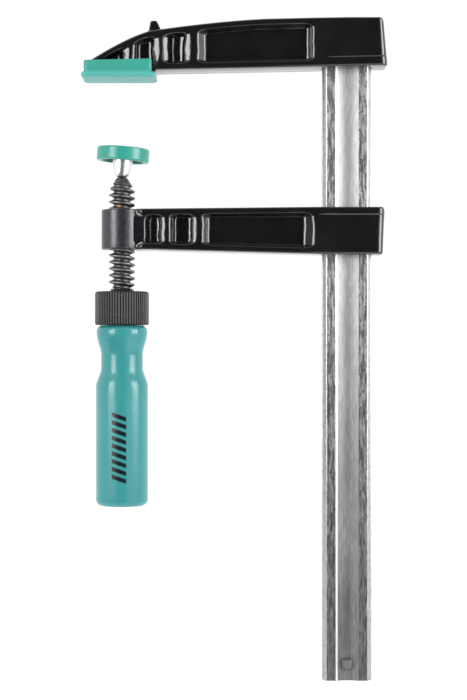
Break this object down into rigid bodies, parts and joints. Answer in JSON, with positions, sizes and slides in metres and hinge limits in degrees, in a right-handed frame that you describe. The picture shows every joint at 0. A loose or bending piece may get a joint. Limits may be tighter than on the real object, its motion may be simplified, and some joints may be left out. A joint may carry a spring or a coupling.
{
  "type": "f clamp",
  "caption": "F clamp with a cast fixed jaw on a grooved steel rail, a sliding arm, and a screw with a swivelling pressure pad and a round handle.",
  "frame": {"origin": "centre of the fixed jaw's contact face, on the screw's axis", "axes": "+Z along the rail from the sliding arm to the fixed jaw, +X from the screw to the rail, +Y across the clamp"},
  "size_m": [0.1824, 0.0322, 0.3958],
  "materials": {
    "rail_steel": "zinc-plated drawn steel, striated lands, smoother groove",
    "black_paint": "gloss black paint over a malleable iron casting",
    "plain_steel": "ground pin, painted over at its end",
    "teal_soft_plastic": "soft satin plastic",
    "dark_steel": "dark phosphated steel, lightly oiled",
    "dark_plastic": "satin moulded plastic with fine ribs",
    "teal_handle": "glossy, slightly translucent plastic",
    "bright_zinc": "bright zinc plate"
  },
  "bodies": {
    "frame": {"rail": "rail_steel", "fixed_jaw": "black_paint", "fixed_jaw_pin": "plain_steel", "fixed_jaw_shoe": "teal_soft_plastic"},
    "arm": {"sliding_arm": "black_paint"},
    "screw_end": {"spindle_ball": "dark_steel"},
    "screw": {"spindle": "dark_steel", "knurled_collar": "dark_plastic", "handle": "teal_handle"},
    "swivel_plate": {"pressure_plate": "bright_zinc"},
    "swivel_pad": {"pressure_pad": "teal_soft_plastic"}
  },
  "joints": [
    {"name": "arm_slide", "type": "slide", "parent": "frame", "child": "arm", "axis": [0, 0, 1], "range_m": [-0.2405, 0.015]},
    {"name": "screw_feed", "type": "slide", "parent": "arm", "child": "screw_end", "axis": [0, 0, 1], "range_m": [-0.0185, 0.0225]},
    {"name": "screw_turn", "type": "hinge", "parent": "screw_end", "child": "screw", "pos_m": [0, 0, -0.0546], "axis": [0, 0, 1], "range_deg": [-1980, 1620]},
    {"name": "pad_tilt", "type": "hinge", "parent": "screw_end", "child": "swivel_plate", "pos_m": [0, 0, -0.0546], "axis": [0, 1, 0], "range_deg": [-13.9, 6.1]},
    {"name": "pad_spin", "type": "hinge", "parent": "swivel_plate", "child": "swivel_pad", "pos_m": [0, 0, -0.0546], "axis": [0.068, 0, 0.9977], "continuous": true}
  ],
  "couplings": [
    {"joint": "screw_feed", "follows": "screw_turn", "m_per_rad": -0.00063662}
  ]
}
